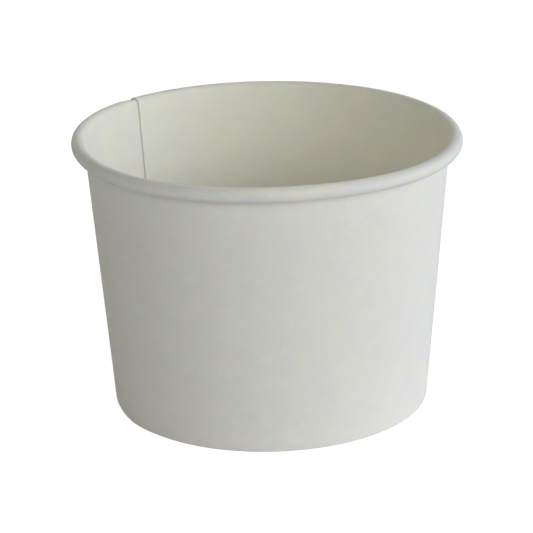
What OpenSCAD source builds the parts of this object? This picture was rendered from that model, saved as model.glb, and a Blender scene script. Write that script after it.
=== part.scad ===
// Paper soup bowl: one wrapped board blank with a lapped side seam, a rolled rim and a
// turned-in hem at the foot, and a pressed bottom whose skirt is held between wall and hem.
// The table is at z = 0 and the bowl's axis is the z axis.

/* [Bowl] */
// Diameter over the rolled rim
rim_d = 116; // [108:0.5:124]
// Diameter over the wall, carried down to the table
base_d = 95.6; // [88:0.2:100]
// Height from the table to the top of the rim
bowl_h = 82.8; // [50:0.1:140]

/* [Board] */
// Thickness of the side wall's board
wall_t = 0.45; // [0.3:0.01:0.46]
// Thickness of the bottom's board
bottom_t = 0.4; // [0.3:0.01:0.6]
// Melted lining between two layers that are sealed together
seal_t = 0.03; // [0.02:0.01:0.06]

/* [Rim] */
// Diameter of the roll, seen in section
roll_d = 4.2; // [3.8:0.1:6]

/* [Side seam] */
// Direction of the blank's inside edge, in degrees from +X
seam_angle = 137; // [0:1:350]
// Width of the lap where the two edges of the blank lie on each other
lap_w = 7; // [5:0.5:12]
// Width over which the outer edge climbs onto the inner one
climb_w = 6; // [3:0.5:12]

/* [Foot] */
// Height of the bottom's underside above the table
recess_h = 9; // [6:0.5:16]
// Inside radius of the bend between the bottom and its skirt
bend_r = 0.8; // [0.4:0.1:2]
// Distance from that bend down to the raw edge of the hem
hem_gap = 0.3; // [0.2:0.1:2]
// Distance from the fold of the foot up to the raw edge of the skirt
skirt_gap = 0.3; // [0.2:0.1:2]
// Depth by which the fold of the foot is pressed flat
foot_press = 0.1; // [0.03:0.01:0.15]

/* [Hidden] */
$fn = 180;

arc_step = 12; // degrees between the points of a bend
climb_steps = 3; // steps in which the outer edge climbs
root_angle = 0.4; // degrees by which each step runs on into its neighbours
board_white = [0.86, 0.87, 0.83];
lining_white = [0.84, 0.83, 0.76];

roll_r = roll_d / 2;
base_r = base_d / 2;
slot_w = bottom_t + 2 * seal_t; // between wall and hem, where the skirt is held

// The wall leans out by wall_lean, which makes its lined face tangent to the roll.
roll_r_pos = rim_d / 2 - roll_r;
roll_z_pos = bowl_h - roll_r;
wall_lean = acos((roll_r - wall_t) / norm([roll_r_pos - base_r, roll_z_pos]))
    - atan2(roll_z_pos, roll_r_pos - base_r);
roll_s = (roll_r_pos - base_r) * sin(wall_lean) + roll_z_pos * cos(wall_lean);

seam_r = base_r + roll_s * sin(wall_lean); // the wall's radius just under the roll
lap_angle = lap_w / seam_r * 180 / PI;
climb_angle = climb_w / seam_r * 180 / PI;

hem_top = recess_h - bend_r - hem_gap;
skirt_end = 2 * wall_t + skirt_gap;

// A point q out from the wall's lined face and s along the wall, as [radius, height].
function on_wall(q, s) = [
    base_r + s * sin(wall_lean) + (q - wall_t) * cos(wall_lean),
    s * cos(wall_lean) - (q - wall_t) * sin(wall_lean)
];

// How far along the wall a point q out from the lined face reaches the height z.
function s_at(q, z) = (z + (q - wall_t) * sin(wall_lean)) / cos(wall_lean);

// Points of a bend about a centre, from angle a0 to angle a1.
function bend(centre, r, a0, a1) = let (n = ceil(abs(a1 - a0) / arc_step)) [
    for (i = [0:n]) let (a = a0 + (a1 - a0) * i / n) centre + r * [cos(a), sin(a)]
];

// One face of the blank, from the raw edge of the hem round the foot, up the wall and round
// the roll. It lies q out from the lined face, and the board's outer face there lies outer out.
// The way round the foot is longer over a thicker lap, so the raw edge ends lower there.
function blank_face(q, outer) =
    let (
        hem_end = hem_top - (outer - wall_t),
        foot = [-slot_w / 2, s_at(-slot_w / 2, slot_w / 2 + outer - foot_press)],
        tuck_r = roll_r - outer - seal_t,
        path = concat(
            [[-slot_w - q, s_at(-slot_w - q, hem_end)]],
            bend(foot, slot_w / 2 + q, 180, 360),
            bend([roll_r, roll_s], roll_r - q, 180, -90),
            bend([roll_r, roll_s - roll_r + tuck_r], tuck_r - q, -90, -180)
        )
    )
    [for (p = path) let (point = on_wall(p[0], p[1])) [point[0], max(point[1], 0)]];

// Section of the blank between two of its faces.
function blank_section(inner, outer) =
    let (back = blank_face(outer, outer))
    concat(blank_face(inner, outer), [for (i = [len(back) - 1:-1:0]) back[i]]);

// The wall starts and ends at the blank's outside edge. From there the two edges lie on each
// other as far as the inside edge, and beyond it the board drops back onto the wall in steps.
module side_wall() {
    step_angle = climb_angle / climb_steps;

    color(board_white)
        rotate([0, 0, seam_angle - lap_angle]) {
            rotate_extrude(angle = lap_angle + climb_angle - 360)
                polygon(blank_section(0, wall_t));
            rotate_extrude(angle = lap_angle)
                polygon(blank_section(0, 2 * wall_t));
            for (i = [1:climb_steps])
                let (lift = wall_t * (1 - i / (climb_steps + 1)))
                rotate([0, 0, lap_angle + (i - 1) * step_angle - root_angle])
                    rotate_extrude(angle = step_angle + 2 * root_angle)
                        polygon(blank_section(lift, lift + wall_t));
        }
}

// Section of the pressed bottom: flat plate, bend and skirt.
function bottom_section() =
    let (
        bend_q = -seal_t - bottom_t - bend_r,
        centre = [bend_q, s_at(bend_q, recess_h - bend_r)],
        skirt_q = -seal_t - bottom_t,
        path = concat(
            bend(centre, bend_r, 90 + wall_lean, 0),
            [[skirt_q, s_at(skirt_q, skirt_end)], [-seal_t, s_at(-seal_t, skirt_end)]],
            bend(centre, bend_r + bottom_t, 0, 90 + wall_lean)
        )
    )
    concat(
        [[0, recess_h]],
        [for (p = path) on_wall(p[0], p[1])],
        [[0, recess_h + bottom_t]]
    );

module bottom_disc() {
    color(lining_white)
        rotate_extrude()
            polygon(bottom_section());
}

side_wall();
bottom_disc();
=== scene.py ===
"""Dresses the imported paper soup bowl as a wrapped, rolled and hemmed board, on a pale stage."""

import math

import bmesh
import bpy
from bpy.props import FloatProperty, FloatVectorProperty, IntProperty, PointerProperty
from mathutils import Matrix, Vector


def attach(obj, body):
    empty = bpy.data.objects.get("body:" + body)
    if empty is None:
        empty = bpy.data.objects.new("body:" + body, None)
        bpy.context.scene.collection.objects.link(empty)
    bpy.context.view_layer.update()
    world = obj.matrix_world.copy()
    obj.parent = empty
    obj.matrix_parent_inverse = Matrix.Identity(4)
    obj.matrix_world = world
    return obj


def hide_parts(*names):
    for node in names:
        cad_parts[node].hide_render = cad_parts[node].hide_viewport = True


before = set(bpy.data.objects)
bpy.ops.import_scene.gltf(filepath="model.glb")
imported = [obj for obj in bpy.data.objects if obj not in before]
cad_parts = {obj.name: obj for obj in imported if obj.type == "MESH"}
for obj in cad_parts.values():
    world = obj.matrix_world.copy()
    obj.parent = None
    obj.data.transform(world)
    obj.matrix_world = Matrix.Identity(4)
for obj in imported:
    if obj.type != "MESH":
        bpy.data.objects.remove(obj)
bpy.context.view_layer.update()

bl_info = {
    "name": "Paper Soup Bowl",
    "version": (1, 0, 0),
    "blender": (4, 5, 0),
    "location": "View3D > Sidebar > Bowl",
    "description": "Dresses the paper soup bowl's two pieces of board and sets its stage",
    "category": "Mesh",
}

MM = 0.001


def length(name, default_mm, description):
    """A length, with its default in millimetres."""
    return FloatProperty(
        name=name,
        description=description,
        default=default_mm * MM,
        min=0.0,
        precision=5,
        unit="LENGTH",
        subtype="DISTANCE",
    )


def angle(name, default_deg, description):
    """An angle, with its default in degrees."""
    return FloatProperty(
        name=name,
        description=description,
        default=math.radians(default_deg),
        unit="ROTATION",
        subtype="ANGLE",
    )


def colour(name, default, description):
    """A linear RGB colour."""
    return FloatVectorProperty(
        name=name,
        description=description,
        default=default,
        size=3,
        min=0.0,
        max=1.0,
        subtype="COLOR",
    )


class BowlSizes(bpy.types.PropertyGroup):
    """Sizes of the bowl and of its board."""

    rim_d: length("Rim diameter", 116, "Diameter over the rolled rim")
    base_d: length("Base diameter", 95.6, "Diameter over the wall, carried down to the table")
    bowl_h: length("Height", 82.8, "Height from the table to the top of the rim")
    roll_d: length("Roll diameter", 4.2, "Diameter of the rolled rim in section")
    wall_t: length("Wall board", 0.45, "Thickness of the side wall's board")
    bottom_t: length("Bottom board", 0.4, "Thickness of the bottom's board")
    seal_t: length("Seal", 0.03, "Melted lining between two sealed layers")
    lap_w: length("Lap", 7, "Width over which the blank's two edges lie on each other")
    climb_w: length("Climb", 6, "Width over which the outer edge climbs onto the inner one")
    recess_h: length("Recess", 9, "Height of the bottom's underside above the table")
    bend_r: length("Bottom bend", 0.8, "Inside radius of the bend between bottom and skirt")
    edge_gap: length("Raw edge gap", 0.3, "Distance of a raw edge from the bend in front of it")
    press: length("Foot press", 0.1, "Depth by which the fold of the foot is pressed flat")
    knurl: length("Hem marks", 0.05, "Depth of the pressing tool's marks on the hem")
    seam: angle("Seam", 137, "Direction of the blank's inside edge, from +X")


class BowlShape(bpy.types.PropertyGroup):
    """How far the bowl is from round, as gentle waves round its rim and its base."""

    rim_oval: length("Rim oval", 0.29, "Height of two waves round the rim")
    rim_oval_at: angle("Rim oval at", -7, "Direction of a crest of the two waves")
    rim_three: length("Rim three", 0.26, "Height of three waves round the rim")
    rim_three_at: angle("Rim three at", -12, "Direction of a crest of the three waves")
    rim_four: length("Rim four", 0.46, "Height of four waves round the rim")
    rim_four_at: angle("Rim four at", -36, "Direction of a crest of the four waves")
    rim_five: length("Rim five", 0.14, "Height of five waves round the rim")
    rim_five_at: angle("Rim five at", 26, "Direction of a crest of the five waves")
    base_oval: length("Base oval", 0.24, "Height of two waves round the base")
    base_oval_at: angle("Base oval at", -33, "Direction of a crest of the two waves")
    base_three: length("Base three", 0.38, "Height of three waves round the base")
    base_three_at: angle("Base three at", -15, "Direction of a crest of the three waves")
    base_corner: length("Base corner", 0.4, "Height of a blunt corner of the base")
    base_corner_at: angle("Base corner at", -147, "Direction of that corner")
    base_corner_w: angle("Base corner width", 9, "Half the width of that corner")


class BowlPaper(bpy.types.PropertyGroup):
    """Colours of the board, of its lining and of its cut edges, a painted shade on the outer half of
    the roll, and the sizes of its grain.
    """

    board: colour("Board", (0.838, 0.828, 0.80), "Colour of the board's plain outside")
    lining: colour("Lining", (0.895, 0.88, 0.79), "Colour of the lined face")
    # Roll: painted shade on the outer half of the rolled rim, darker and cooler than the lining,
    # standing in for the bead's shading under the cool window light
    roll: colour("Roll", (0.81, 0.81, 0.79), "Colour of the lined face where it is rolled")
    cut: colour("Cut edge", (0.74, 0.73, 0.68), "Colour of the board where it is cut")
    cloud: length("Clouds", 7, "Size of the soft clouds of tone")
    fibre: length("Fibres", 0.55, "Size of the fine fibres")
    layer: length("Layers", 0.18, "Size of the open fibre at a cut edge")
    # Depths inside the rim where the roll's painted shade starts and where it is full
    roll_shade_start: length("Roll start", 1.8, "Depth inside the rim where the roll's colour starts")
    roll_shade_full: length("Roll full", 0.6, "Depth inside the rim where it is full")


class BowlStage(bpy.types.PropertyGroup):
    """Camera, light and floor."""

    lens: FloatProperty(name="Lens", description="Focal length", default=142.15, unit="CAMERA")
    distance: length("Distance", 638, "From the camera to the middle of the bowl")
    aim_h: length("Aim height", 41.4, "Height of the point that the camera circles")
    elevation: angle("Elevation", 20.02, "Height of the camera above the horizon")
    roll: angle("Roll", 1.02, "Turn of the camera about its line of sight")
    tilt: angle("Tilt", -0.14, "Turn of the camera up from the middle of the bowl")
    pan: angle("Pan", 0.05, "Turn of the camera sideways from the middle of the bowl")
    key_power: FloatProperty(
        name="Key", description="Power of the large soft lamp", default=4.8, unit="POWER"
    )
    key_tint: colour("Key colour", (1.0, 0.99, 0.93), "Colour of the lamp")
    key_long: length("Key length", 1900, "Long axis of the lamp")
    key_short: length("Key breadth", 800, "Short axis of the lamp")
    key_away: length("Key distance", 1100, "From the lamp to the middle of the bowl")
    key_side: angle("Key side", 46, "Direction of the lamp, to the right of the camera")
    key_up: angle("Key height", 12, "Height of the lamp above the horizon")
    room_power: FloatProperty(name="Room", description="Strength of the room's light", default=3.12)
    walls: colour("Walls", (0.285, 0.28, 0.24), "Light from the sides of the room")
    window: colour("Window", (0.735, 0.785, 0.88), "Light from the window's side of the room")
    window_side: angle("Window side", 78, "Direction of the window, to the right of the camera")
    floor_r: length("Floor radius", 6000, "Radius of the floor")
    floor_drop: length("Floor drop", 0.05, "Depth of the floor below the bowl's foot")


class BowlMesh(bpy.types.PropertyGroup):
    """How finely the board is divided."""

    steps: IntProperty(name="Steps", description="Sections round the bowl", default=360, min=36)
    hem_cuts: IntProperty(name="Hem", description="Divisions of the hem", default=8, min=1)
    fold_cuts: IntProperty(name="Fold", description="Divisions of the foot", default=14, min=4)
    wall_cuts: IntProperty(name="Wall", description="Divisions of the wall", default=22, min=2)
    roll_cuts: IntProperty(name="Roll", description="Divisions of the roll", default=28, min=8)
    tuck_cuts: IntProperty(name="Tuck", description="Divisions of its end", default=6, min=2)


def smooth(u):
    """A smooth step from 0 to 1."""
    u = min(max(u, 0.0), 1.0)
    return u * u * (3.0 - 2.0 * u)


def arc(centre, r, start, end, cuts):
    """Points of a bend in degrees, both ends included."""
    turns = [math.radians(start + (end - start) * i / cuts) for i in range(cuts + 1)]
    return [(centre[0] + r * math.cos(a), centre[1] + r * math.sin(a)) for a in turns]


def line(a, b, cuts):
    """Points strictly between a and b."""
    return [
        (a[0] + (b[0] - a[0]) * i / cuts, a[1] + (b[1] - a[1]) * i / cuts)
        for i in range(1, cuts)
    ]


class Slant:
    """The leaning wall: places on the blank, q out from its lined face and s up along it."""

    def __init__(self, sizes, cuts):
        self.sizes = sizes
        self.cuts = cuts
        self.roll_r = sizes.roll_d / 2
        self.slot_w = sizes.bottom_t + 2 * sizes.seal_t
        self.base_r = sizes.base_d / 2
        across = sizes.rim_d / 2 - self.roll_r - self.base_r
        up = sizes.bowl_h - self.roll_r
        reach = math.hypot(across, up)
        self.lean = math.acos((self.roll_r - sizes.wall_t) / reach) - math.atan2(up, across)
        self.roll_s = across * math.sin(self.lean) + up * math.cos(self.lean)
        self.seam_r = self.base_r + self.roll_s * math.sin(self.lean)

    def at(self, place):
        """The radius and height of a place (q, s)."""
        q, s = place
        out = q - self.sizes.wall_t
        sin, cos = math.sin(self.lean), math.cos(self.lean)
        return self.base_r + s * sin + out * cos, s * cos - out * sin

    def s_at(self, q, height):
        """How far up the wall a place q out from the lined face is at this height."""
        return (height + (q - self.sizes.wall_t) * math.sin(self.lean)) / math.cos(self.lean)

    def face(self, q, outer, mark):
        """One face of the blank as radii and heights, from the hem to the end of the roll.

        It lies q out from the lined face, the board's outer face there lies outer out, and the
        hem is pressed in by mark.
        """
        sizes, cuts, w = self.sizes, self.cuts, self.slot_w
        foot = (-w / 2, self.s_at(-w / 2, w / 2 + outer - sizes.press))
        hem_end = sizes.recess_h - sizes.bend_r - sizes.edge_gap - (outer - sizes.wall_t)
        hem = (-w - q, self.s_at(-w - q, hem_end))
        fold = arc(foot, w / 2 + q, 180, 360, cuts.fold_cuts)
        roll = arc((self.roll_r, self.roll_s), self.roll_r - q, 180, -90, cuts.roll_cuts)
        tuck_r = self.roll_r - outer - sizes.seal_t
        tuck_at = (self.roll_r, self.roll_s - self.roll_r + tuck_r)
        tuck = arc(tuck_at, tuck_r - q, -90, -180, cuts.tuck_cuts)
        band = [(x - mark, s) for x, s in line(hem, fold[0], cuts.hem_cuts)]
        wall = line(fold[-1], roll[0], cuts.wall_cuts)
        path = [hem] + band + fold + wall + roll + tuck[1:]
        return [(r, max(height, 0.0)) for r, height in map(self.at, path)]

    def wall_section(self, turn):
        """Section of the blank, turn radians from its inside edge."""
        sizes = self.sizes
        climb = sizes.climb_w / self.seam_r
        lap = sizes.lap_w / self.seam_r
        layer = sizes.wall_t + sizes.seal_t
        lift = layer * smooth((turn - math.tau + climb) / climb)
        over = layer * smooth((lap + climb - turn) / climb)
        outer = lift + sizes.wall_t + over
        step = round(turn / math.tau * self.cuts.steps)
        mark = sizes.knurl * (step % 2)
        lined = self.face(lift, outer, 0.0)
        plain = self.face(lift + sizes.wall_t, outer, mark)
        return lined + plain[::-1]

    def bottom_section(self):
        """Section of the pressed bottom, from the middle of its lined face round and back."""
        sizes, cuts = self.sizes, self.cuts
        bend_q = -sizes.seal_t - sizes.bottom_t - sizes.bend_r
        centre = (bend_q, self.s_at(bend_q, sizes.recess_h - sizes.bend_r))
        flat = 90 + math.degrees(self.lean)
        skirt_end = 2 * sizes.wall_t + sizes.edge_gap

        def face(q, r, height):
            bend = arc(centre, r, flat, 0, cuts.tuck_cuts)
            raw = (q, self.s_at(q, skirt_end))
            edge = [self.at(p) for p in bend + line(bend[-1], raw, cuts.hem_cuts) + [raw]]
            return [(0.0, height)] + line((0.0, height), edge[0], cuts.fold_cuts) + edge

        lined = face(-sizes.seal_t, sizes.bend_r + sizes.bottom_t, sizes.recess_h + sizes.bottom_t)
        plain = face(-sizes.seal_t - sizes.bottom_t, sizes.bend_r, sizes.recess_h)
        return lined + plain[::-1]

    def squeeze(self, shape, r, height, theta):
        """How far out of round the board is at this place."""
        rim = (
            shape.rim_oval * math.cos(2 * (theta - shape.rim_oval_at))
            + shape.rim_three * math.cos(3 * (theta - shape.rim_three_at))
            + shape.rim_four * math.cos(4 * (theta - shape.rim_four_at))
            + shape.rim_five * math.cos(5 * (theta - shape.rim_five_at))
        )
        off_corner = math.remainder(theta - shape.base_corner_at, math.tau)
        base = (
            shape.base_oval * math.cos(2 * (theta - shape.base_oval_at))
            + shape.base_three * math.cos(3 * (theta - shape.base_three_at))
            + shape.base_corner * math.exp(-((off_corner / shape.base_corner_w) ** 2))
        )
        share = height / self.sizes.bowl_h
        full_r = self.base_r + height * math.tan(self.lean)
        return (rim * share + base * (1 - share)) * min(r / full_r, 1.0)

    def spot(self, shape, r, height, theta):
        """A place of the board in the frame, as far out of round as the bowl is there."""
        r += self.squeeze(shape, r, height, theta)
        return r * math.cos(theta), r * math.sin(theta), height


class Wire:
    """A node's output with arithmetic: an expression on values adds its Math nodes."""

    def __init__(self, finish, socket):
        self.finish = finish
        self.socket = socket

    def _math(self, operation, *values):
        return self.finish.add("ShaderNodeMath", {"operation": operation}, dict(enumerate(values)))

    def __add__(self, other):
        return self._math("ADD", self, other)

    def __radd__(self, other):
        return self._math("ADD", other, self)

    def __sub__(self, other):
        return self._math("SUBTRACT", self, other)

    def __rsub__(self, other):
        return self._math("SUBTRACT", other, self)

    def __mul__(self, other):
        return self._math("MULTIPLY", self, other)

    def __rmul__(self, other):
        return self._math("MULTIPLY", other, self)

    def __or__(self, other):
        return self._math("MAXIMUM", self, other)

    def __ror__(self, other):
        return self._math("MAXIMUM", other, self)


class Finish:
    """A material, or the light of the room, under construction."""

    def __init__(self, owner, output="ShaderNodeOutputMaterial"):
        owner.use_nodes = True
        self.owner = owner
        self.output = output
        self.tree = owner.node_tree
        self.tree.nodes.clear()

    def add(self, kind, settings=None, values=None, output=0):
        """Adds a node, with its settings first and then its sockets' values or wires."""
        node = self.tree.nodes.new(kind)
        for key, value in (settings or {}).items():
            setattr(node, key, value)
        for key, value in (values or {}).items():
            socket = node.inputs[key]
            if isinstance(value, Wire):
                self.tree.links.new(value.socket, socket)
            else:
                socket.default_value = value
        return Wire(self, node.outputs[output]) if node.outputs else node

    def mix(self, factor, a, b):
        """A colour between a and b."""
        a, b = (c if isinstance(c, Wire) else (*c, 1.0) for c in (a, b))
        return self.add("ShaderNodeMix", {"data_type": "RGBA"}, {0: factor, 6: a, 7: b}, 2)

    def grain(self, size, stretch=(1, 1, 1), detail=4.0, roughness=0.6):
        """Noise whose blots are about size metres across, drawn out along the stretched axes."""
        place = self.add("ShaderNodeTexCoord", output=3)
        scaled = self.add(
            "ShaderNodeMapping", values={0: place, 3: [1.0 / (size * s) for s in stretch]}
        )
        values = {"Vector": scaled, "Scale": 1.0, "Detail": detail, "Roughness": roughness}
        return self.add("ShaderNodeTexNoise", values=values)

    def outside(self, start, full):
        """A factor that rises from 0 to 1 between two distances from the axis."""
        place = self.add("ShaderNodeTexCoord", output=3)
        level = self.add("ShaderNodeMapping", values={0: place, 3: (1, 1, 0)})
        r = self.add("ShaderNodeVectorMath", {"operation": "LENGTH"}, {0: level}, output=1)
        return self.rise(r, start, full)

    def rise(self, value, start, full):
        """A factor that rises smoothly from 0 to 1 as value goes from start to full."""
        smoothly = {"interpolation_type": "SMOOTHSTEP"}
        return self.add("ShaderNodeMapRange", smoothly, {0: value, 1: start, 2: full})

    def close(self, shader):
        """Shows the shader, and gives back the finished material or world."""
        self.add(self.output, values={"Surface": shader})
        return self.owner


# How far the tones of the board, and of its cut edge, are from their colours
BOARD_TONE = 0.12
CUT_DARKER = 0.15
CUT_LIGHTER = 0.1


def shades(base, darker, lighter):
    """The darkest and the lightest tone of a colour, by how far they are from it."""
    return [c * (1 - darker) for c in base], [min(c * (1 + lighter), 1.0) for c in base]


def paper_finish(name, scene, face, rolled, roughness, clouding, fibring, relief, specular):
    """Board or lining: soft clouds of tone, fine fibres, and a relief of both.

    On the outer half of the rolled rim the face's colour turns to the rolled one, a painted shade
    darker and cooler than the face.
    """
    looks, rim_r = scene.bowl_paper, scene.bowl_sizes.rim_d / 2
    paper = Finish(bpy.data.materials.new(name))
    clouds = paper.grain(looks.cloud)
    upright = paper.grain(looks.fibre, stretch=(1, 1, 5), detail=3.0)
    level = paper.grain(looks.fibre, stretch=(4, 4, 1), detail=3.0)
    fibres = (upright + level) * 0.5
    tone = (clouds - 0.5) * clouding + (fibres - 0.5) * fibring + 0.5
    toned = paper.mix(tone, *shades(face, BOARD_TONE, BOARD_TONE))
    # Painted shade on the outer half of the rolled rim
    if rolled is not None:
        roll_shade_mask = paper.outside(rim_r - looks.roll_shade_start, rim_r - looks.roll_shade_full)
        toned = paper.mix(roll_shade_mask, toned, paper.mix(tone, *shades(rolled, BOARD_TONE, BOARD_TONE)))
    shader = paper.add(
        "ShaderNodeBsdfPrincipled",
        values={
            "Base Color": toned,
            "Roughness": (fibres - 0.5) * 0.3 + roughness,
            "Specular IOR Level": specular,
            "Subsurface Weight": 1.0,
            "Subsurface Radius": (1.0, 0.75, 0.2),
            "Subsurface Scale": 0.15 * MM,
            "Normal": paper.add(
                "ShaderNodeBump",
                values={"Strength": 1.0, "Distance": relief, "Height": fibres + clouds * 0.6},
            ),
        },
    )
    return paper.close(shader)


def cut_finish(name, looks):
    """The board's cut edge: coarse, open fibre."""
    paper = Finish(bpy.data.materials.new(name))
    layers = paper.grain(looks.layer, stretch=(1, 1, 3), roughness=0.7)
    shader = paper.add(
        "ShaderNodeBsdfPrincipled",
        values={
            "Base Color": paper.mix(layers, *shades(looks.cut, CUT_DARKER, CUT_LIGHTER)),
            "Roughness": 0.9,
            "Specular IOR Level": 0.3,
            "Normal": paper.add(
                "ShaderNodeBump", values={"Strength": 1.0, "Distance": 0.03 * MM, "Height": layers}
            ),
        },
    )
    return paper.close(shader)


LINED, PLAIN, CUT = 0, 1, 2


def board_materials(scene):
    """The three finishes of a piece of board, made once."""
    known, looks = bpy.data.materials, scene.bowl_paper
    if "lined face" in known:
        return [known["lined face"], known["plain face"], known["cut edge"]]
    lined = paper_finish(
        "lined face",
        scene,
        face=looks.lining,
        # the roll's painted shade
        rolled=looks.roll,
        roughness=0.45,
        clouding=0.3,
        fibring=0.2,
        relief=0.02 * MM,
        specular=0.15,
    )
    plain = paper_finish(
        "plain face",
        scene,
        face=looks.board,
        rolled=None,
        roughness=0.72,
        clouding=0.3,
        fibring=0.4,
        relief=0.05 * MM,
        specular=0.1,
    )
    return [lined, plain, cut_finish("cut edge", looks)]


def sweep(first, turn, steps, closed):
    """Spins a closed section round the axis, and remembers each point's place in the section."""
    bm = bmesh.new()
    place = bm.verts.layers.int.new("place")
    ring = [bm.verts.new((r, 0.0, height)) for r, height in first]
    for i, vert in enumerate(ring):
        vert[place] = i
    edges = [bm.edges.new((ring[i - 1], ring[i])) for i in range(1, len(ring))]
    if not closed:
        edges.append(bm.edges.new((ring[-1], ring[0])))
    bmesh.ops.spin(
        bm,
        geom=ring + edges,
        cent=(0, 0, 0),
        axis=(0, 0, 1),
        angle=turn,
        steps=steps,
        use_merge=closed,
    )
    return bm, place


def face_kind(places, count):
    """Which of the board's finishes a face has, by the places of its corners."""
    low, high = min(places), max(places)
    half = count // 2
    if len(set(places)) != 2 or (low, high) in ((half - 1, half), (0, count - 1)):
        return CUT
    return LINED if high < half else PLAIN


def close_piece(context, bm, place, count, name, node):
    """Finishes a piece: faces outwards, its three finishes, crisp cuts, and its place."""
    bmesh.ops.recalc_face_normals(bm, faces=bm.faces)
    for f in bm.faces:
        f.smooth = True
        f.material_index = face_kind([v[place] for v in f.verts], count)
    for e in bm.edges:
        e.smooth = len({f.material_index for f in e.link_faces}) == 1
    mesh = bpy.data.meshes.new(name)
    bm.to_mesh(mesh)
    bm.free()
    for material in board_materials(context.scene):
        mesh.materials.append(material)
    piece = bpy.data.objects.new(name, mesh)
    context.scene.collection.objects.link(piece)
    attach(piece, "root")
    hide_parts(node)


class BOWL_OT_side_wall(bpy.types.Operator):
    """Wrap the board blank, lap its edges, roll its rim and turn in its foot"""

    bl_idname = "bowl.side_wall"
    bl_label = "Side wall"

    def execute(self, context):
        scene = context.scene
        slant = Slant(scene.bowl_sizes, scene.bowl_mesh)
        step_turn = math.tau / scene.bowl_mesh.steps
        lap_steps = round(scene.bowl_sizes.lap_w / slant.seam_r / step_turn)
        steps = scene.bowl_mesh.steps + lap_steps
        first = slant.wall_section(0.0)
        count = len(first)
        bm, place = sweep(first, -steps * step_turn, steps, closed=False)
        for i, vert in enumerate(bm.verts):
            turn = i // count * step_turn
            if i % count == 0:
                section = slant.wall_section(turn)
            r, height = section[vert[place]]
            theta = scene.bowl_sizes.seam - turn
            vert.co = slant.spot(scene.bowl_shape, r, height, theta)
        ends = [e for e in bm.edges if len(e.link_faces) == 1]
        bmesh.ops.holes_fill(bm, edges=ends, sides=0)
        close_piece(context, bm, place, count, "wrapped_wall", "side_wall")
        return {"FINISHED"}


class BOWL_OT_bottom(bpy.types.Operator):
    """Press the bottom and its skirt"""

    bl_idname = "bowl.bottom"
    bl_label = "Bottom"

    def execute(self, context):
        scene = context.scene
        slant = Slant(scene.bowl_sizes, scene.bowl_mesh)
        first = slant.bottom_section()
        count = len(first)
        bm, place = sweep(first, math.tau, scene.bowl_mesh.steps // 2, closed=True)
        for vert in bm.verts:
            x, y, height = vert.co
            vert.co = slant.spot(scene.bowl_shape, math.hypot(x, y), height, math.atan2(y, x))
        bmesh.ops.remove_doubles(bm, verts=bm.verts, dist=1e-6)
        close_piece(context, bm, place, count, "pressed_bottom", "bottom_disc")
        return {"FINISHED"}


FLOOR_WHITE = (0.8, 0.8, 0.8)
FLOOR_GLOW = 0.8

# Heights, as the sine of the angle above the horizon, between which the walls' light starts,
# and between which it ends at the dark ceiling
WALLS_START = (0.16, 0.32)
WALLS_END = (0.50, 0.72)


def floor_finish():
    """A white floor that lights the bowl as paper would and shows its shadow to the camera."""
    floor = Finish(bpy.data.materials.new("white floor"))
    diffuse = floor.add("ShaderNodeBsdfDiffuse", values={"Color": (*FLOOR_WHITE, 1.0)})
    glow = floor.add("ShaderNodeEmission", values={"Color": (1, 1, 1, 1), "Strength": FLOOR_GLOW})
    shown = floor.add("ShaderNodeAddShader", values={0: diffuse, 1: glow})
    seen = floor.add("ShaderNodeLightPath")
    return floor.close(floor.add("ShaderNodeMixShader", values={0: seen, 1: diffuse, 2: shown}))


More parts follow.
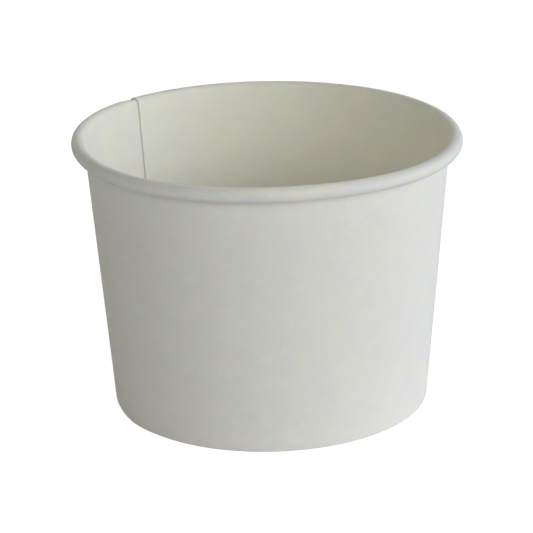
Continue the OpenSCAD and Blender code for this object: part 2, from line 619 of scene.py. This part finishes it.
class BOWL_OT_stage(bpy.types.Operator):
    """Set the floor, the light and the camera"""

    bl_idname = "bowl.stage"
    bl_label = "Stage"

    def execute(self, context):
        stage = context.scene.bowl_stage
        self.lay_floor(context, stage)
        self.light_room(context.scene, stage)
        self.hang_lamp(context, stage)
        self.place_camera(context, stage)
        context.scene.view_settings.view_transform = "Standard"
        return {"FINISHED"}

    def lay_floor(self, context, stage):
        """A wide round floor just below the foot."""
        bm = bmesh.new()
        bmesh.ops.create_circle(bm, cap_ends=True, segments=96, radius=stage.floor_r)
        bmesh.ops.translate(bm, verts=bm.verts, vec=(0, 0, -stage.floor_drop))
        mesh = bpy.data.meshes.new("floor")
        bm.to_mesh(mesh)
        bm.free()
        mesh.materials.append(floor_finish())
        floor = bpy.data.objects.new("floor", mesh)
        context.scene.collection.objects.link(floor)

    def light_room(self, scene, stage):
        """Light from the walls and the window, in a room that looks white to the camera."""
        room = Finish(bpy.data.worlds.new("room"), "ShaderNodeOutputWorld")
        scene.world = room.owner
        way = room.add("ShaderNodeTexCoord")
        height = room.add("ShaderNodeSeparateXYZ", values={0: way}, output=2)
        window = (math.sin(stage.window_side), -math.cos(stage.window_side), 0)
        facing = room.add(
            "ShaderNodeVectorMath", {"operation": "DOT_PRODUCT"}, {0: way, 1: window}, output=1
        )
        above_floor = room.rise(height, *WALLS_START)
        at_ceiling = room.rise(height, *WALLS_END)
        side = room.mix(facing | 0.0, stage.walls, stage.window)
        tint = room.mix(above_floor * (1 - at_ceiling), (0, 0, 0), side)
        light = room.add(
            "ShaderNodeBackground", values={"Color": tint, "Strength": stage.room_power}
        )
        white = room.add("ShaderNodeBackground", values={"Color": (1, 1, 1, 1)})
        camera, glossy, clear = (
            room.add("ShaderNodeLightPath", output="Is %s Ray" % kind)
            for kind in ("Camera", "Glossy", "Transmission")
        )
        seen = camera | glossy | clear
        room.close(room.add("ShaderNodeMixShader", values={0: seen, 1: light, 2: white}))

    def hang_lamp(self, context, stage):
        """The large soft lamp, low on the right."""
        lamp = bpy.data.lights.new("key lamp", "AREA")
        lamp.shape = "ELLIPSE"
        lamp.size = stage.key_long
        lamp.size_y = stage.key_short
        lamp.energy = stage.key_power
        lamp.color = stage.key_tint
        key = bpy.data.objects.new("key lamp", lamp)
        out = math.cos(stage.key_up)
        towards = Vector(
            (math.sin(stage.key_side) * out, -math.cos(stage.key_side) * out, math.sin(stage.key_up))
        )
        key.location = towards * stage.key_away + Vector((0, 0, stage.aim_h))
        key.rotation_euler = towards.to_track_quat("Z", "Y").to_euler()
        context.scene.collection.objects.link(key)

    def place_camera(self, context, stage):
        """The camera in front of the bowl, a little above it, looking down at its middle."""
        data = bpy.data.cameras.new("camera")
        data.sensor_width = 36.0
        data.lens = stage.lens
        data.clip_start, data.clip_end = 0.01, 50.0
        forward = Vector((0, math.cos(stage.elevation), -math.sin(stage.elevation)))
        right = Vector((1, 0, 0))
        up = right.cross(forward)
        turn = (
            Matrix.Rotation(stage.roll, 3, forward)
            @ Matrix.Rotation(stage.tilt, 3, right)
            @ Matrix.Rotation(stage.pan, 3, up)
        )
        look = Matrix((turn @ right, turn @ up, -(turn @ forward))).transposed()
        camera = bpy.data.objects.new("camera", data)
        place = Vector((0, 0, stage.aim_h)) - forward * stage.distance
        camera.matrix_world = Matrix.Translation(place) @ look.to_4x4()
        context.scene.collection.objects.link(camera)
        context.scene.camera = camera


class BOWL_PT_panel(bpy.types.Panel):
    """The bowl's pieces and sizes"""

    bl_label = "Paper soup bowl"
    bl_idname = "BOWL_PT_panel"
    bl_space_type = "VIEW_3D"
    bl_region_type = "UI"
    bl_category = "Bowl"

    def draw(self, context):
        for operator in (BOWL_OT_side_wall, BOWL_OT_bottom, BOWL_OT_stage):
            self.layout.operator(operator.bl_idname)
        for name, kind in GROUPS.items():
            box = self.layout.box()
            box.label(text=name.capitalize())
            group = getattr(context.scene, "bowl_" + name)
            for prop in kind.__annotations__:
                box.prop(group, prop)


GROUPS = {
    "sizes": BowlSizes,
    "shape": BowlShape,
    "paper": BowlPaper,
    "stage": BowlStage,
    "mesh": BowlMesh,
}
CLASSES = (*GROUPS.values(), BOWL_OT_side_wall, BOWL_OT_bottom, BOWL_OT_stage, BOWL_PT_panel)


def register():
    for cls in CLASSES:
        bpy.utils.register_class(cls)
    for name, kind in GROUPS.items():
        setattr(bpy.types.Scene, "bowl_" + name, PointerProperty(type=kind))


def unregister():
    for name in GROUPS:
        delattr(bpy.types.Scene, "bowl_" + name)
    for cls in reversed(CLASSES):
        bpy.utils.unregister_class(cls)


def main():
    register()
    bpy.ops.bowl.side_wall()
    bpy.ops.bowl.bottom()
    bpy.ops.bowl.stage()


if __name__ == "__main__":
    main()
